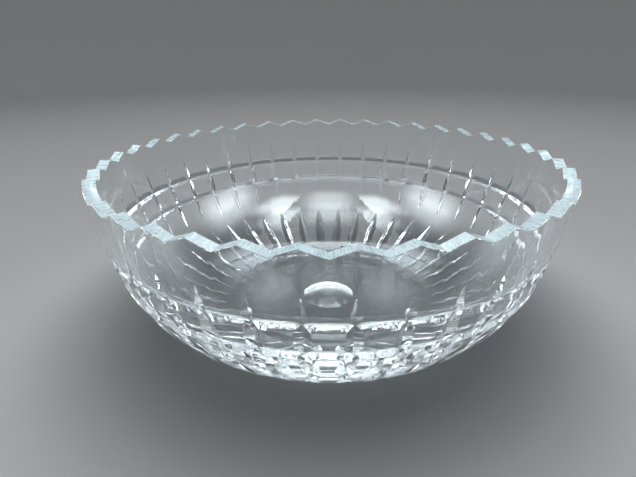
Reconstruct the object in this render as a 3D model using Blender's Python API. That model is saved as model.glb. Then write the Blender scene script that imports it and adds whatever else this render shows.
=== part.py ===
"""Cut-crystal punch bowl: one solid piece of clear glass, standing on its flat base.

Origin at the centre of the base, +Z up, metres. The pattern repeats once for each tooth of the
rim, and each repeat is symmetric about the plane through its tooth. So half a repeat is built,
mirrored about that plane and spun round the axis.
"""

import math

import bmesh
import bpy
from mathutils import Matrix, Vector

# Outer outline: two tangent arcs from the edge of the base to the rim, 280 mm across and 105 mm high.
BASE_RADIUS = 0.070
LOWER_ARC_RADIUS = 0.080
UPPER_ARC_RADIUS = 0.257
BASE_SLOPE = math.radians(11.4)
SHOULDER_SLOPE = math.radians(74.2)
RIM_SLOPE = math.radians(85.2)

# Wall and floor.
WALL_AT_RIM = 0.0067
WALL_AT_BASE = 0.0115
EVEN_WALL_HEIGHT = 0.0720
FLOOR_ARC_RADIUS = 0.080

# Round hollow that is ground and polished into the middle of the base's underside.
HOLLOW_RADIUS = 0.0175
HOLLOW_SPHERE_RADIUS = 0.0440

# Rim teeth. One repeat of the pattern is one tooth wide, with its peak in the middle.
TEETH = 40
TOOTH_HEIGHT = 0.0039
FIRST_PEAK = math.radians(4.5)

# Cuts. Each is a V-shaped groove whose sides fall this far for each metre of half width.
RING_FALL = 0.45
RING_DEPTH = 0.00145
RING_HEIGHTS = (0.0525, 0.0690)
GROOVE_FALL = 0.50
MITRE_DEPTH = 0.00190
MITRE_BOTTOM = 0.0345
MITRE_TOP = 0.0850
RAY_DEPTH = 0.00190
RAY_INNER_RADIUS = 0.0720
RAY_TIP_RADIUS = 0.1150

# How finely the smooth parts are divided.
ROW_SPACING = 0.0075
INSIDE_STEPS = 10
FLOOR_ARC_STEPS = 2
HOLLOW_STEPS = 4

MERGE_DISTANCE = 1e-6
SHARP_ANGLE = math.radians(20)

LOWER_ARC_LENGTH = LOWER_ARC_RADIUS * (SHOULDER_SLOPE - BASE_SLOPE)
OUTLINE_LENGTH = LOWER_ARC_LENGTH + UPPER_ARC_RADIUS * (RIM_SLOPE - SHOULDER_SLOPE)
HALF_REPEAT = math.pi / TEETH


def arc_point(start, radius, slope_from, slope_to):
    """The point reached from start along an arc that climbs from one slope to another."""
    x = start[0] + radius * (math.sin(slope_to) - math.sin(slope_from))
    z = start[1] + radius * (math.cos(slope_from) - math.cos(slope_to))
    return x, z


SHOULDER = arc_point((BASE_RADIUS, 0.0), LOWER_ARC_RADIUS, BASE_SLOPE, SHOULDER_SLOPE)


def outline(along):
    """(radius, height, slope) of the uncut outside, at a distance along it from the base's edge."""
    if along <= LOWER_ARC_LENGTH:
        slope = BASE_SLOPE + along / LOWER_ARC_RADIUS
        return (*arc_point((BASE_RADIUS, 0.0), LOWER_ARC_RADIUS, BASE_SLOPE, slope), slope)
    slope = SHOULDER_SLOPE + (along - LOWER_ARC_LENGTH) / UPPER_ARC_RADIUS
    return (*arc_point(SHOULDER, UPPER_ARC_RADIUS, SHOULDER_SLOPE, slope), slope)


def along_at_height(height):
    """Distance along the outline at a height above the base."""
    if height <= SHOULDER[1]:
        slope = math.acos(math.cos(BASE_SLOPE) - height / LOWER_ARC_RADIUS)
        return LOWER_ARC_RADIUS * (slope - BASE_SLOPE)
    slope = math.acos(math.cos(SHOULDER_SLOPE) - (height - SHOULDER[1]) / UPPER_ARC_RADIUS)
    return LOWER_ARC_LENGTH + UPPER_ARC_RADIUS * (slope - SHOULDER_SLOPE)


def along_at_radius(radius):
    """Distance along the lower arc at a distance from the axis."""
    slope = math.asin(math.sin(BASE_SLOPE) + (radius - BASE_RADIUS) / LOWER_ARC_RADIUS)
    return LOWER_ARC_RADIUS * (slope - BASE_SLOPE)


RINGS = [along_at_height(height) for height in RING_HEIGHTS]
EVEN_WALL_START = along_at_height(EVEN_WALL_HEIGHT)
MITRE = (along_at_height(MITRE_BOTTOM), along_at_height(MITRE_TOP))
RAY = (along_at_radius(RAY_INNER_RADIUS), along_at_radius(RAY_TIP_RADIUS))


def lens_depth(along, ends, depth):
    """Depth of a groove that a round wheel leaves, from nothing at both ends to full in the middle."""
    middle = (ends[0] + ends[1]) / 2
    off_middle = (along - middle) / (ends[1] - middle)
    return max(0.0, depth * (1 - off_middle**2))


def ring_depth(along):
    """Depth of the nearest of the two cuts that run right round."""
    return max(0.0, *(RING_DEPTH - abs(along - ring) * RING_FALL for ring in RINGS))


def valley_depth(along):
    """Depth along the middle of a repeat, where the upright mitre cut and the ray of the base run."""
    return max(
        lens_depth(along, MITRE, MITRE_DEPTH), lens_depth(along, RAY, RAY_DEPTH), ring_depth(along)
    )


def wall(along):
    """Thickness of the uncut wall, easing from the base's to an even one under the rim."""
    share = min(1.0, along / EVEN_WALL_START)
    return WALL_AT_BASE + (WALL_AT_RIM - WALL_AT_BASE) * share * share * (3 - 2 * share)


def rim_drop(turn):
    """How far the rim is below its peaks, at an angle from a tooth's middle."""
    return TOOTH_HEIGHT * turn / HALF_REPEAT


def surface_point(along, turn, depth):
    """A point at a depth under the uncut outside."""
    radius, height, slope = outline(along)
    radius -= depth * math.sin(slope)
    height += depth * math.cos(slope)
    return Vector((radius * math.cos(turn), radius * math.sin(turn), height))


def even(start, end, steps):
    """Even steps from start to end, start left out."""
    return [start + (end - start) * step / steps for step in range(1, steps + 1)]


def hollow_height(radius):
    """Height of the underside's hollow above the plane of the base."""
    edge = math.sqrt(HOLLOW_SPHERE_RADIUS**2 - HOLLOW_RADIUS**2)
    return math.sqrt(HOLLOW_SPHERE_RADIUS**2 - radius**2) - edge


def outside_rows():
    """Distances along the outline where the outside has a row of points, below the rim."""
    ring_half = RING_DEPTH / RING_FALL
    stops = [*RAY, MITRE[0]]
    for ring in RINGS:
        stops += [ring - ring_half, ring, ring + ring_half]
    stops.append(MITRE[1])
    rows = [0.0]
    for stop in stops:
        rows += even(rows[-1], stop, math.ceil((stop - rows[-1]) / ROW_SPACING))
    return rows


def outside_row(along):
    """The points of one row of the outside, from the middle of a repeat to its edge."""
    land = ring_depth(along)
    deepest = valley_depth(along)
    radius = outline(along)[0]
    facet_turn = (deepest - land) / GROOVE_FALL / radius
    return [
        surface_point(along, 0.0, deepest),
        surface_point(along, facet_turn, land),
        surface_point(along, HALF_REPEAT, land),
    ]


def inside_rows():
    """(radius, height) of the inside's rows of points, from under the rim down to the flat floor."""
    path = []
    for along in even(OUTLINE_LENGTH, 0.0, INSIDE_STEPS):
        radius, height, slope = outline(along)
        path.append((radius - wall(along) * math.sin(slope), height + wall(along) * math.cos(slope)))
    floor_arc_top = path[-1]
    for slope in even(BASE_SLOPE, 0.0, FLOOR_ARC_STEPS):
        x, z = floor_arc_top
        path.append(
            (
                x - FLOOR_ARC_RADIUS * (math.sin(BASE_SLOPE) - math.sin(slope)),
                z - FLOOR_ARC_RADIUS * (math.cos(slope) - math.cos(BASE_SLOPE)),
            )
        )
    return path


def bridge(bm, below, above):
    """Faces between two rows of points. Points at one place give a triangle, or no face."""
    for i in range(len(below) - 1):
        corners = [below[i], below[i + 1], above[i + 1], above[i]]
        unique = [c for n, c in enumerate(corners) if (c - corners[n - 1]).length > MERGE_DISTANCE]
        if len(unique) > 2:
            bm.faces.new([bm.verts.new(corner) for corner in unique])


def round_row(radius, height, turns):
    return [Vector((radius * math.cos(turn), radius * math.sin(turn), height)) for turn in turns]


def half_repeat():
    """Half a repeat of the pattern, open at its two radial sides and at the two centres."""
    bm = bmesh.new()
    tooth_turns = (0.0, 0.0, HALF_REPEAT)
    hollow_radii = even(0.0, HOLLOW_RADIUS, HOLLOW_STEPS)
    rows = [round_row(radius, hollow_height(radius), tooth_turns) for radius in hollow_radii]
    rows += [outside_row(along) for along in outside_rows()]
    rim_along = [OUTLINE_LENGTH - rim_drop(turn) / math.sin(RIM_SLOPE) for turn in tooth_turns]
    outer_rim = [surface_point(a, turn, 0.0) for a, turn in zip(rim_along, tooth_turns)]
    inner_rim = []
    for along, turn, outer in zip(rim_along, tooth_turns, outer_rim):
        inner = surface_point(along, turn, WALL_AT_RIM)
        inner.z = outer.z
        inner_rim.append(inner)
    rows += [outer_rim, inner_rim]
    rows += [round_row(radius, height, tooth_turns) for radius, height in inside_rows()]
    for below, above in zip(rows, rows[1:]):
        bridge(bm, below, above)
    bmesh.ops.remove_doubles(bm, verts=bm.verts, dist=MERGE_DISTANCE)
    return bm


def bowl_mesh():
    bm = half_repeat()
    bmesh.ops.mirror(
        bm, geom=bm.verts[:] + bm.edges[:] + bm.faces[:], matrix=Matrix(), merge_dist=0.0, axis="Y"
    )
    bmesh.ops.spin(
        bm,
        geom=bm.verts[:] + bm.edges[:] + bm.faces[:],
        cent=(0, 0, 0),
        axis=(0, 0, 1),
        angle=2 * HALF_REPEAT * (TEETH - 1),
        steps=TEETH - 1,
        use_duplicate=True,
    )
    bmesh.ops.remove_doubles(bm, verts=bm.verts, dist=MERGE_DISTANCE)
    bmesh.ops.rotate(bm, verts=bm.verts, cent=(0, 0, 0), matrix=Matrix.Rotation(FIRST_PEAK, 3, "Z"))
    bmesh.ops.holes_fill(bm, edges=[edge for edge in bm.edges if edge.is_boundary])
    bmesh.ops.recalc_face_normals(bm, faces=bm.faces)
    mesh = bpy.data.meshes.new("bowl")
    bm.to_mesh(mesh)
    bm.free()
    mesh.shade_smooth()
    mesh.set_sharp_from_angle(angle=SHARP_ANGLE)
    return mesh


def clear_crystal():
    """Colourless lead crystal."""
    material = bpy.data.materials.new("clear_crystal")
    material.use_nodes = True
    shader = material.node_tree.nodes["Principled BSDF"]
    shader.inputs["Base Color"].default_value = (0.93, 0.98, 1.0, 1.0)
    shader.inputs["Roughness"].default_value = 0.02
    shader.inputs["Metallic"].default_value = 0.0
    shader.inputs["IOR"].default_value = 1.54
    shader.inputs["Transmission Weight"].default_value = 1.0
    return material


def main():
    for obj in list(bpy.data.objects):
        bpy.data.objects.remove(obj)
    bowl = bpy.data.objects.new("bowl", bowl_mesh())
    bowl.data.materials.append(clear_crystal())
    bpy.context.scene.collection.objects.link(bowl)


main()
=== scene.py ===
"""Looks of the cut-crystal punch bowl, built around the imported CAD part."""
import math

import bmesh
import bpy
from mathutils import Matrix, Vector, noise


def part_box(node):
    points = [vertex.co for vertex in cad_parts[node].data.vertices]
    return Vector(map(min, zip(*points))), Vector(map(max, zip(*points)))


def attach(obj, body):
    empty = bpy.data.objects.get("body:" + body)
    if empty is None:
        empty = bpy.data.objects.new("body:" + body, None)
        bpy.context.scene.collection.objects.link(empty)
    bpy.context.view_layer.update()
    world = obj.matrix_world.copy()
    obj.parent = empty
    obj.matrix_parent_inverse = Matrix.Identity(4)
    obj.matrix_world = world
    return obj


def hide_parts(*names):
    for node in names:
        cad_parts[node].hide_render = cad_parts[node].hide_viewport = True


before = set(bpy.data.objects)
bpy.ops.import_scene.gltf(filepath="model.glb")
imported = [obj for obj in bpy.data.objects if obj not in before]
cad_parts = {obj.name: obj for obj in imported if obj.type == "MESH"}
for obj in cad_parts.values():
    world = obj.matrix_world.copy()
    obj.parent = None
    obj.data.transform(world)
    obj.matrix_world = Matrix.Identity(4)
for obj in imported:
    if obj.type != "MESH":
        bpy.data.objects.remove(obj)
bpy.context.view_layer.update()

LOW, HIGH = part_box("bowl")
HEIGHT = HIGH.z - LOW.z

# ---------------------------------------------------------------- shape of the bowl, as in the CAD
# Every length is a share of the bowl's height, so the shape follows the frame.
MM = HEIGHT / 105.11

BASE_RADIUS = 70 * MM
LOWER_ARC_RADIUS = 80 * MM
UPPER_ARC_RADIUS = 257 * MM
BASE_SLOPE = math.radians(11.4)
SHOULDER_SLOPE = math.radians(74.2)
RIM_SLOPE = math.radians(85.2)
WALL_AT_RIM = 6.7 * MM
WALL_AT_BASE = 11.5 * MM
EVEN_WALL_HEIGHT = 72.0 * MM
FLOOR_ARC_RADIUS = 80 * MM
HOLLOW_RADIUS = 17.5 * MM
HOLLOW_SPHERE_RADIUS = 44 * MM

TEETH = 40
TOOTH_HEIGHT = 3.9 * MM
FIRST_PEAK = math.radians(4.5)
HALF_REPEAT = math.pi / TEETH

# Cuts. Each is a V-shaped groove whose sides fall this far for each metre of half width.
RING_FALL = 0.45
RING_DEPTH = 1.45 * MM
RING_HEIGHTS = (52.5 * MM, 69.0 * MM)
GROOVE_FALL = 0.50
MITRE_DEPTH = 1.90 * MM
MITRE_BOTTOM = 34.5 * MM
MITRE_TOP = 85.0 * MM
RAY_DEPTH = 1.90 * MM
RAY_INNER_RADIUS = 72.0 * MM
RAY_TIP_RADIUS = 115.0 * MM

# ---------------------------------------------------------------- how finely it is divided
ROW_SPACING = 1.7 * MM
INSIDE_SPACING = 2.4 * MM
FACET_COLUMNS = 2
LAND_COLUMNS = 6
EDGE_BEVEL = 0.22 * MM
CUT_BEVEL = 0.14 * MM
HOLLOW_SPACING = 1.5 * MM
BASE_SPACING = 18 * MM
BASE_EDGE_SHARE = 0.98
FLOOR_STEPS = 12
MERGE_DISTANCE = 1e-7
WELD_DISTANCE = 1e-6
SHARP_ANGLE = math.radians(12.5)

# Waves of the polished inside: how far they push it, how many there are to a radian, how tall one is,
# how far they stay below the teeth, and how far in from the outside a point counts as the inside.
WAVE_PUSH = 0.05 * MM
WAVES_AROUND = 6
WAVE_HEIGHT = 60 * MM
WAVE_FREE_RIM = 2 * MM
INSIDE_MARGIN = 3 * MM

LOWER_ARC_LENGTH = LOWER_ARC_RADIUS * (SHOULDER_SLOPE - BASE_SLOPE)
OUTLINE_LENGTH = LOWER_ARC_LENGTH + UPPER_ARC_RADIUS * (RIM_SLOPE - SHOULDER_SLOPE)


def arc_point(start, radius, slope_from, slope_to):
    """The point reached from start along an arc that climbs from one slope to another."""
    x = start[0] + radius * (math.sin(slope_to) - math.sin(slope_from))
    z = start[1] + radius * (math.cos(slope_from) - math.cos(slope_to))
    return x, z


SHOULDER = arc_point((BASE_RADIUS, 0.0), LOWER_ARC_RADIUS, BASE_SLOPE, SHOULDER_SLOPE)


def outline(along):
    """(radius, height, slope) of the uncut outside, at a distance along it from the base's edge."""
    if along <= LOWER_ARC_LENGTH:
        slope = BASE_SLOPE + along / LOWER_ARC_RADIUS
        return (*arc_point((BASE_RADIUS, 0.0), LOWER_ARC_RADIUS, BASE_SLOPE, slope), slope)
    slope = SHOULDER_SLOPE + (along - LOWER_ARC_LENGTH) / UPPER_ARC_RADIUS
    return (*arc_point(SHOULDER, UPPER_ARC_RADIUS, SHOULDER_SLOPE, slope), slope)


def along_at_height(height):
    """Distance along the outline at a height above the base."""
    if height <= SHOULDER[1]:
        slope = math.acos(math.cos(BASE_SLOPE) - height / LOWER_ARC_RADIUS)
        return LOWER_ARC_RADIUS * (slope - BASE_SLOPE)
    slope = math.acos(math.cos(SHOULDER_SLOPE) - (height - SHOULDER[1]) / UPPER_ARC_RADIUS)
    return LOWER_ARC_LENGTH + UPPER_ARC_RADIUS * (slope - SHOULDER_SLOPE)


def along_at_radius(radius):
    """Distance along the lower arc at a distance from the axis."""
    slope = math.asin(math.sin(BASE_SLOPE) + (radius - BASE_RADIUS) / LOWER_ARC_RADIUS)
    return LOWER_ARC_RADIUS * (slope - BASE_SLOPE)


RINGS = [along_at_height(height) for height in RING_HEIGHTS]
EVEN_WALL_START = along_at_height(EVEN_WALL_HEIGHT)
MITRE = (along_at_height(MITRE_BOTTOM), along_at_height(MITRE_TOP))
RAY = (along_at_radius(RAY_INNER_RADIUS), along_at_radius(RAY_TIP_RADIUS))


def lens_depth(along, ends, depth):
    """Depth of a groove that a round wheel leaves, from nothing at both ends to full in the middle."""
    middle = (ends[0] + ends[1]) / 2
    off_middle = (along - middle) / (ends[1] - middle)
    return max(0.0, depth * (1 - off_middle**2))


def ring_depth(along):
    """Depth of the ring cuts, with a narrow flat along each of their edges."""
    away = min(abs(along - ring) for ring in RINGS)
    edge = RING_DEPTH / RING_FALL
    if away < edge - CUT_BEVEL:
        return RING_DEPTH - away * RING_FALL
    return max(0.0, (edge + CUT_BEVEL - away) * RING_FALL / 2)


def valley_depth(along):
    """Depth along the middle of a repeat, where the upright mitre cut and the ray of the base run."""
    return max(
        lens_depth(along, MITRE, MITRE_DEPTH), lens_depth(along, RAY, RAY_DEPTH), ring_depth(along)
    )


def wall(along):
    """Thickness of the uncut wall, easing from the base's to an even one under the rim."""
    share = min(1.0, along / EVEN_WALL_START)
    return WALL_AT_BASE + (WALL_AT_RIM - WALL_AT_BASE) * share * share * (3 - 2 * share)


def surface_point(along, turn, depth):
    """A point at a depth under the uncut outside."""
    radius, height, slope = outline(along)
    radius -= depth * math.sin(slope)
    height += depth * math.cos(slope)
    return Vector((radius * math.cos(turn), radius * math.sin(turn), height))


def spaced(start, end, spacing):
    """Even steps from start to end, start left out, none longer than spacing."""
    steps = max(1, math.ceil(abs(end - start) / spacing))
    return [start + (end - start) * step / steps for step in range(1, steps + 1)]


def land_turns(facet_turn):
    """Angles of the columns between a cut's edge and the repeat's edge."""
    return [
        facet_turn + (HALF_REPEAT - facet_turn) * column / LAND_COLUMNS
        for column in range(1, LAND_COLUMNS + 1)
    ]


def hollow_height(radius):
    """Height of the underside's hollow above the plane of the base."""
    edge = math.sqrt(HOLLOW_SPHERE_RADIUS**2 - HOLLOW_RADIUS**2)
    return math.sqrt(HOLLOW_SPHERE_RADIUS**2 - radius**2) - edge


def outside_rows():
    """Distances along the outline where the outside has a row of points, below the teeth."""
    ring_half = RING_DEPTH / RING_FALL
    bevel = (ring_half - CUT_BEVEL, ring_half + CUT_BEVEL)
    stops = [*RAY, MITRE[0]]
    for ring in RINGS:
        stops += [ring - bevel[1], ring - bevel[0], ring, ring + bevel[0], ring + bevel[1]]
    stops += [MITRE[1], OUTLINE_LENGTH - TOOTH_HEIGHT - 2 * EDGE_BEVEL]
    rows = [0.0]
    for stop in stops:
        rows += spaced(rows[-1], stop, ROW_SPACING)
    return rows


def outside_row(along):
    """The points of one row of the outside, from the middle of a repeat to its edge."""
    radius = outline(along)[0]
    land = ring_depth(along)
    deepest = valley_depth(along)
    half_width = (deepest - land) / GROOVE_FALL
    bevel = min(CUT_BEVEL, half_width / 3)
    facet_turn = (half_width - bevel) / radius
    facet_edge = land + bevel * GROOVE_FALL
    points = []
    for column in range(FACET_COLUMNS + 1):
        share = column / FACET_COLUMNS
        depth = deepest + (facet_edge - deepest) * share if half_width else land
        points.append(surface_point(along, facet_turn * share, depth))
    land_start = (half_width + bevel) / radius
    points.append(surface_point(along, land_start, land))
    return points + [surface_point(along, turn, land) for turn in land_turns(land_start)]


PLAIN_TURNS = [0.0] * (FACET_COLUMNS + 2) + land_turns(0.0)


def rim_rows():
    """Rows over the saw-tooth rim, from its outer edge to its inner one, each edge slightly bevelled."""
    rows = [[], [], [], []]
    for turn in PLAIN_TURNS:
        drop = TOOTH_HEIGHT * turn / HALF_REPEAT
        along = OUTLINE_LENGTH - drop / math.sin(RIM_SLOPE)
        top = surface_point(along, turn, 0.0).z
        depths_and_drops = (
            (0.0, EDGE_BEVEL),
            (EDGE_BEVEL, 0.0),
            (WALL_AT_RIM - EDGE_BEVEL, 0.0),
            (WALL_AT_RIM, EDGE_BEVEL),
        )
        for row, (depth, lower) in zip(rows, depths_and_drops):
            point = surface_point(along, turn, depth)
            point.z = top - lower
            row.append(point)
    return rows


def inside_outline():
    """(radius, height) of the inside's rows of points, from under the rim down to the flat floor."""
    path = []
    for along in spaced(OUTLINE_LENGTH - TOOTH_HEIGHT, 0.0, INSIDE_SPACING):
        radius, height, slope = outline(along)
        path.append((radius - wall(along) * math.sin(slope), height + wall(along) * math.cos(slope)))
    x, z = path[-1]
    for slope in spaced(BASE_SLOPE, 0.0, INSIDE_SPACING / FLOOR_ARC_RADIUS):
        path.append(
            (
                x - FLOOR_ARC_RADIUS * (math.sin(BASE_SLOPE) - math.sin(slope)),
                z - FLOOR_ARC_RADIUS * (math.cos(slope) - math.cos(BASE_SLOPE)),
            )
        )
    floor_radius, floor_height = path[-1]
    centre_radius = floor_radius / FLOOR_STEPS
    for radius in spaced(floor_radius, centre_radius, floor_radius / (FLOOR_STEPS - 1)):
        path.append((radius, floor_height))
    return path


def ring_of_points(radius, height):
    return [Vector((radius * math.cos(t), radius * math.sin(t), height)) for t in PLAIN_TURNS]


POLISHED, GROUND = 0, 1


def bridge(bm, below, above, finish):
    """Faces between two rows of points. Points at one place give a triangle, or no face."""
    for i in range(len(below) - 1):
        corners = [below[i], below[i + 1], above[i + 1], above[i]]
        unique = [c for n, c in enumerate(corners) if (c - corners[n - 1]).length > MERGE_DISTANCE]
        if len(unique) > 2:
            face = bm.faces.new([bm.verts.new(corner) for corner in unique])
            face.material_index = finish


def half_repeat():
    """Half a repeat of the pattern, open at its two radial sides and at the two centres."""
    bm = bmesh.new()
    hollow = [
        ring_of_points(radius, hollow_height(radius))
        for radius in spaced(0.0, HOLLOW_RADIUS, HOLLOW_SPACING)
    ]
    base = [
        ring_of_points(radius, 0.0)
        for radius in spaced(HOLLOW_RADIUS, BASE_RADIUS * BASE_EDGE_SHARE, BASE_SPACING)
    ]
    outside = [outside_row(along) for along in outside_rows()]
    rim = rim_rows()
    inside = [ring_of_points(radius, height) for radius, height in inside_outline()]
    rows = hollow + base + outside + rim + inside
    for below, above in zip(rows, rows[1:]):
        bridge(bm, below, above, GROUND if below is rim[1] else POLISHED)
    bmesh.ops.remove_doubles(bm, verts=bm.verts, dist=MERGE_DISTANCE)
    return bm


def make_wavy(bm):
    """The polished inside isn't perfectly true: its wall waves by a few hundredths of a millimetre."""
    for vert in bm.verts:
        radius = math.hypot(vert.co.x, vert.co.y)
        if radius < BASE_RADIUS or vert.co.z > HEIGHT - TOOTH_HEIGHT - WAVE_FREE_RIM:
            continue
        outside_radius = outline(along_at_height(vert.co.z))[0]
        if outside_radius - radius > INSIDE_MARGIN:
            turn = math.atan2(vert.co.y, vert.co.x)
            across, along = math.cos(turn) * WAVES_AROUND, math.sin(turn) * WAVES_AROUND
            push = noise.noise(Vector((across, along, vert.co.z / WAVE_HEIGHT))) * WAVE_PUSH
            vert.co.x += vert.co.x / radius * push
            vert.co.y += vert.co.y / radius * push


def bowl_mesh():
    bm = half_repeat()
    bmesh.ops.mirror(
        bm, geom=bm.verts[:] + bm.edges[:] + bm.faces[:], matrix=Matrix(), merge_dist=0.0, axis="Y"
    )
    bmesh.ops.spin(
        bm,
        geom=bm.verts[:] + bm.edges[:] + bm.faces[:],
        cent=(0, 0, 0),
        axis=(0, 0, 1),
        angle=2 * HALF_REPEAT * (TEETH - 1),
        steps=TEETH - 1,
        use_duplicate=True,
    )
    bmesh.ops.remove_doubles(bm, verts=bm.verts, dist=WELD_DISTANCE)
    bmesh.ops.rotate(bm, verts=bm.verts, cent=(0, 0, 0), matrix=Matrix.Rotation(FIRST_PEAK, 3, "Z"))
    bmesh.ops.holes_fill(bm, edges=[edge for edge in bm.edges if edge.is_boundary])
    bmesh.ops.recalc_face_normals(bm, faces=bm.faces)
    make_wavy(bm)
    mesh = bpy.data.meshes.new("crystal_bowl")
    bm.to_mesh(mesh)
    bm.free()
    mesh.shade_smooth()
    mesh.set_sharp_from_angle(angle=SHARP_ANGLE)
    return mesh


# ---------------------------------------------------------------- materials
CRYSTAL_IOR = 1.55
CRYSTAL_COLOUR = (0.965, 0.988, 1.0, 1.0)
GROUND_COLOUR = (0.74, 0.92, 0.97, 1.0)
GROUND_TRANSMISSION = 0.45
NOISE_LOW, NOISE_HIGH = 0.35, 0.65
FLOOR_COLOUR = (0.42, 0.42, 0.42, 1.0)
# Painted shadow of the bowl on the floor: this dark colour is painted under the bowl, and it fades to
# the floor's colour between these two distances from the axis.
FLOOR_PAINTED_SHADE_COLOUR = (0.08, 0.08, 0.08, 1.0)
PAINTED_SHADE_FADE_START, PAINTED_SHADE_FADE_END = 0.10, 0.22
FLOOR_ROUGHNESS = 0.7


def new_material(name):
    material = bpy.data.materials.new(name)
    material.use_nodes = True
    nodes = material.node_tree.nodes
    return material, nodes, material.node_tree.links, nodes["Principled BSDF"]


def polar_noise(nodes, links, around, upward, scale, detail):
    """Noise in (angle, distance from the centre, height), so that its grain follows the bowl."""
    place = nodes.new("ShaderNodeTexCoord")
    parts = nodes.new("ShaderNodeSeparateXYZ")
    links.new(place.outputs["Object"], parts.inputs["Vector"])
    turn = nodes.new("ShaderNodeMath")
    turn.operation = "ARCTAN2"
    links.new(parts.outputs["Y"], turn.inputs[0])
    links.new(parts.outputs["X"], turn.inputs[1])
    polar = nodes.new("ShaderNodeCombineXYZ")
    links.new(turn.outputs["Value"], polar.inputs["X"])
    links.new(parts.outputs["Z"], polar.inputs["Z"])
    reach = nodes.new("ShaderNodeVectorMath")
    reach.operation = "LENGTH"
    links.new(place.outputs["Object"], reach.inputs[0])
    links.new(reach.outputs["Value"], polar.inputs["Y"])
    stretch = nodes.new("ShaderNodeMapping")
    stretch.inputs["Scale"].default_value = (around, 1.0, upward)
    links.new(polar.outputs["Vector"], stretch.inputs["Vector"])
    grain = nodes.new("ShaderNodeTexNoise")
    grain.inputs["Scale"].default_value = scale
    grain.inputs["Detail"].default_value = detail
    links.new(stretch.outputs["Vector"], grain.inputs["Vector"])
    return grain


def roughen(nodes, links, shader, grain, low, high):
    """Roughness between two values, by the noise."""
    rough = nodes.new("ShaderNodeMapRange")
    rough.inputs["From Min"].default_value = NOISE_LOW
    rough.inputs["From Max"].default_value = NOISE_HIGH
    rough.inputs["To Min"].default_value = low
    rough.inputs["To Max"].default_value = high
    links.new(grain.outputs["Fac"], rough.inputs["Value"])
    links.new(rough.outputs["Result"], shader.inputs["Roughness"])


def emboss(nodes, links, shader, grain, strength, distance):
    """Shallow relief, by the noise."""
    bump = nodes.new("ShaderNodeBump")
    bump.inputs["Strength"].default_value = strength
    bump.inputs["Distance"].default_value = distance
    links.new(grain.outputs["Fac"], bump.inputs["Height"])
    links.new(bump.outputs["Normal"], shader.inputs["Normal"])


def polished_crystal():
    """Polished lead crystal: clear, very slightly cool, with faint waves drawn out up the wall."""
    material, nodes, links, shader = new_material("polished_crystal")
    shader.inputs["Base Color"].default_value = CRYSTAL_COLOUR
    shader.inputs["IOR"].default_value = CRYSTAL_IOR
    shader.inputs["Transmission Weight"].default_value = 1.0
    waves = polar_noise(nodes, links, around=1.0, upward=1.5, scale=16, detail=2)
    roughen(nodes, links, shader, waves, low=0.0, high=0.012)
    emboss(nodes, links, shader, waves, strength=0.35, distance=0.0002)
    return material


def ground_crystal():
    """Rim facets, finely ground across the rim, so that they scatter light and look pale."""
    material, nodes, links, shader = new_material("ground_crystal")
    shader.inputs["Base Color"].default_value = GROUND_COLOUR
    shader.inputs["IOR"].default_value = CRYSTAL_IOR
    shader.inputs["Transmission Weight"].default_value = GROUND_TRANSMISSION
    grain = polar_noise(nodes, links, around=1.0, upward=0.0, scale=110, detail=5)
    roughen(nodes, links, shader, grain, low=0.20, high=0.40)
    emboss(nodes, links, shader, grain, strength=0.1, distance=0.0001)
    return material


def floor_paper_painted_shade():
    """Matt paper, grey but brightly lit, with a painted shadow: its colour is painted much darker under
    the bowl and close round it.
    """
    material, nodes, links, shader = new_material("floor_paper_painted_shade")
    shader.inputs["Roughness"].default_value = FLOOR_ROUGHNESS
    place = nodes.new("ShaderNodeTexCoord")
    reach = nodes.new("ShaderNodeVectorMath")
    reach.operation = "LENGTH"
    links.new(place.outputs["Object"], reach.inputs[0])
    fade = nodes.new("ShaderNodeMapRange")
    fade.interpolation_type = "SMOOTHSTEP"
    fade.inputs["From Min"].default_value = PAINTED_SHADE_FADE_START
    fade.inputs["From Max"].default_value = PAINTED_SHADE_FADE_END
    links.new(reach.outputs["Value"], fade.inputs["Value"])
    # Painted shadow: the dark colour under the bowl blends out into the floor's own colour.
    painted_shade_mix = nodes.new("ShaderNodeMix")
    painted_shade_mix.data_type = "RGBA"
    painted_shade_mix.inputs["A"].default_value = FLOOR_PAINTED_SHADE_COLOUR
    painted_shade_mix.inputs["B"].default_value = FLOOR_COLOUR
    links.new(fade.outputs["Result"], painted_shade_mix.inputs["Factor"])
    links.new(painted_shade_mix.outputs["Result"], shader.inputs["Base Color"])
    return material


# ---------------------------------------------------------------- studio, in metres
FLOOR_RADIUS = 1.5
SWEEP_RADIUS = 0.6
BACKDROP_HEIGHT = 2.0
FLOOR_CENTRE_RADIUS = 0.05
SWEEP_STEPS = 12
FLOOR_TURNS = 96
FLOOR_GAP = 0.0002

WHITE = (1, 1, 1)
COOL = (0.86, 0.95, 1.0)
PANEL_FADE = (0.5, 0.1)
WORLD_COLOUR = (0.62, 0.70, 0.80, 1)
WORLD_STRENGTH = 0.15

# The camera's place is given in shares of the rim's radius.
RIM_RADIUS = outline(OUTLINE_LENGTH)[0]
CAMERA_DISTANCE = 2.025 * RIM_RADIUS
CAMERA_RISE = 0.480 * RIM_RADIUS
CAMERA_LENS = 26.02
CAMERA_SENSOR = 36
CAMERA_NEAR = 0.01
CAMERA_TURN = math.radians(1.43)
CAMERA_DIP = math.radians(23.61)
CAMERA_ROLL = math.radians(-0.52)

LIGHT_BOUNCES = 24


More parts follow.
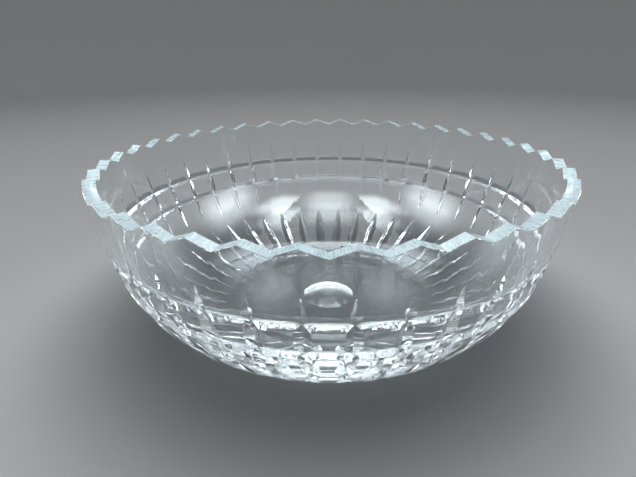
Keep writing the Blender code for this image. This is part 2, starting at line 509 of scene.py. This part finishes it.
def add_floor():
    """A pale floor that sweeps up into a round backdrop, with a painted shadow under the bowl."""
    bm = bmesh.new()
    profile = [(FLOOR_CENTRE_RADIUS, 0.0), (FLOOR_RADIUS, 0.0)]
    for step in range(1, SWEEP_STEPS + 1):
        angle = math.pi / 2 * step / SWEEP_STEPS
        out, up = SWEEP_RADIUS * math.sin(angle), SWEEP_RADIUS * (1 - math.cos(angle))
        profile.append((FLOOR_RADIUS + out, up))
    profile.append((FLOOR_RADIUS + SWEEP_RADIUS, BACKDROP_HEIGHT))
    turns = [2 * math.pi * step / FLOOR_TURNS for step in range(FLOOR_TURNS)]
    rings = []
    for radius, height in profile:
        points = [(radius * math.cos(turn), radius * math.sin(turn), height) for turn in turns]
        rings.append([bm.verts.new(point) for point in points])
    bm.faces.new(rings[0])
    for inner, outer in zip(rings, rings[1:]):
        for i in range(FLOOR_TURNS):
            j = (i + 1) % FLOOR_TURNS
            bm.faces.new([inner[i], outer[i], outer[j], inner[j]])
    bmesh.ops.recalc_face_normals(bm, faces=bm.faces)
    mesh = bpy.data.meshes.new("floor")
    bm.to_mesh(mesh)
    bm.free()
    mesh.shade_smooth()
    mesh.materials.append(floor_paper_painted_shade())
    floor = bpy.data.objects.new("floor", mesh)
    bpy.context.scene.collection.objects.link(floor)
    floor.location.z = LOW.z - FLOOR_GAP


def add_panel(name, place, target, size, radiance, colour=COOL, for_floor=False):
    """A soft panel that fades to its edges and shows in the glass, or a plain one for matt surfaces."""
    data = bpy.data.lights.new(name, "AREA")
    data.shape = "RECTANGLE"
    data.size, data.size_y = size
    data.energy = radiance * math.pi * size[0] * size[1]
    data.color = colour
    light = bpy.data.objects.new(name, data)
    light.location = place
    light.rotation_euler = (Vector(target) - Vector(place)).to_track_quat("-Z", "Y").to_euler()
    light.visible_camera = False
    light.visible_diffuse = for_floor
    light.visible_glossy = not for_floor
    if not for_floor:
        soften(data)
    bpy.context.scene.collection.objects.link(light)


def soften(data):
    """Let a panel's light fade from the middle to its four edges."""
    data.use_nodes = True
    nodes = data.node_tree.nodes
    links = data.node_tree.links
    where = nodes.new("ShaderNodeNewGeometry")
    parts = nodes.new("ShaderNodeSeparateXYZ")
    links.new(where.outputs["Parametric"], parts.inputs["Vector"])
    fades = []
    for axis in "XY":
        away = nodes.new("ShaderNodeMath")
        away.operation = "SUBTRACT"
        away.inputs[1].default_value = 0.5
        links.new(parts.outputs[axis], away.inputs[0])
        size = nodes.new("ShaderNodeMath")
        size.operation = "ABSOLUTE"
        links.new(away.outputs["Value"], size.inputs[0])
        fade = nodes.new("ShaderNodeMapRange")
        fade.interpolation_type = "SMOOTHSTEP"
        fade.inputs["From Min"].default_value = PANEL_FADE[0]
        fade.inputs["From Max"].default_value = PANEL_FADE[1]
        links.new(size.outputs["Value"], fade.inputs["Value"])
        fades.append(fade)
    both = nodes.new("ShaderNodeMath")
    both.operation = "MULTIPLY"
    links.new(fades[0].outputs["Result"], both.inputs[0])
    links.new(fades[1].outputs["Result"], both.inputs[1])
    links.new(both.outputs["Value"], nodes["Emission"].inputs["Strength"])


def add_lights():
    """The first panel lights matt surfaces alone. The others show only in the glass."""
    add_panel("floor_panel", (0, 0, 1.7), (0, 0, 0), (1.7, 1.7), 2.6, colour=WHITE, for_floor=True)
    add_panel("back_panel", (0, 0.85, 0.93), (0, 0, 0.05), (0.8, 0.42), 7)
    add_panel("middle_panel", (0, -0.30, 0.75), (0, -0.30, 0), (0.46, 0.66), 7)
    for side, name in ((-1, "left"), (1, "right")):
        key_place, key_target = (side * 0.30, -0.18, 0.75), (side * 0.30, -0.18, 0)
        add_panel(f"{name}_key_panel", key_place, key_target, (0.46, 0.60), 13)
        add_panel(f"{name}_side_panel", (side * 1.1, -0.1, 0.75), (0, -0.1, 0.1), (1.3, 0.80), 7)


def add_world():
    world = bpy.data.worlds.new("studio")
    world.use_nodes = True
    background = world.node_tree.nodes["Background"]
    background.inputs["Color"].default_value = WORLD_COLOUR
    background.inputs["Strength"].default_value = WORLD_STRENGTH
    bpy.context.scene.world = world


def add_camera():
    data = bpy.data.cameras.new("camera")
    data.sensor_width = CAMERA_SENSOR
    data.lens = CAMERA_LENS
    data.clip_start = CAMERA_NEAR
    camera = bpy.data.objects.new("camera", data)
    place = Matrix.Translation(Vector((0, -CAMERA_DISTANCE, HIGH.z + CAMERA_RISE)))
    turn = Matrix.Rotation(CAMERA_TURN, 4, "Z")
    tilt = Matrix.Rotation(math.pi / 2 - CAMERA_DIP, 4, "X")
    roll = Matrix.Rotation(CAMERA_ROLL, 4, "Z")
    camera.matrix_world = place @ turn @ tilt @ roll
    bpy.context.scene.collection.objects.link(camera)
    bpy.context.scene.camera = camera


def add_bowl():
    bowl = bpy.data.objects.new("crystal_bowl", bowl_mesh())
    bowl.data.materials.append(polished_crystal())
    bowl.data.materials.append(ground_crystal())
    bpy.context.scene.collection.objects.link(bowl)
    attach(bowl, "root")
    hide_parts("bowl")


def set_cycles_paths():
    """Light has to cross many walls and facets of the glass."""
    cycles = bpy.context.scene.cycles
    cycles.max_bounces = LIGHT_BOUNCES
    cycles.transmission_bounces = LIGHT_BOUNCES
    cycles.glossy_bounces = LIGHT_BOUNCES


add_bowl()
add_floor()
add_world()
add_lights()
add_camera()
set_cycles_paths()
bpy.context.scene.view_settings.view_transform = "Standard"
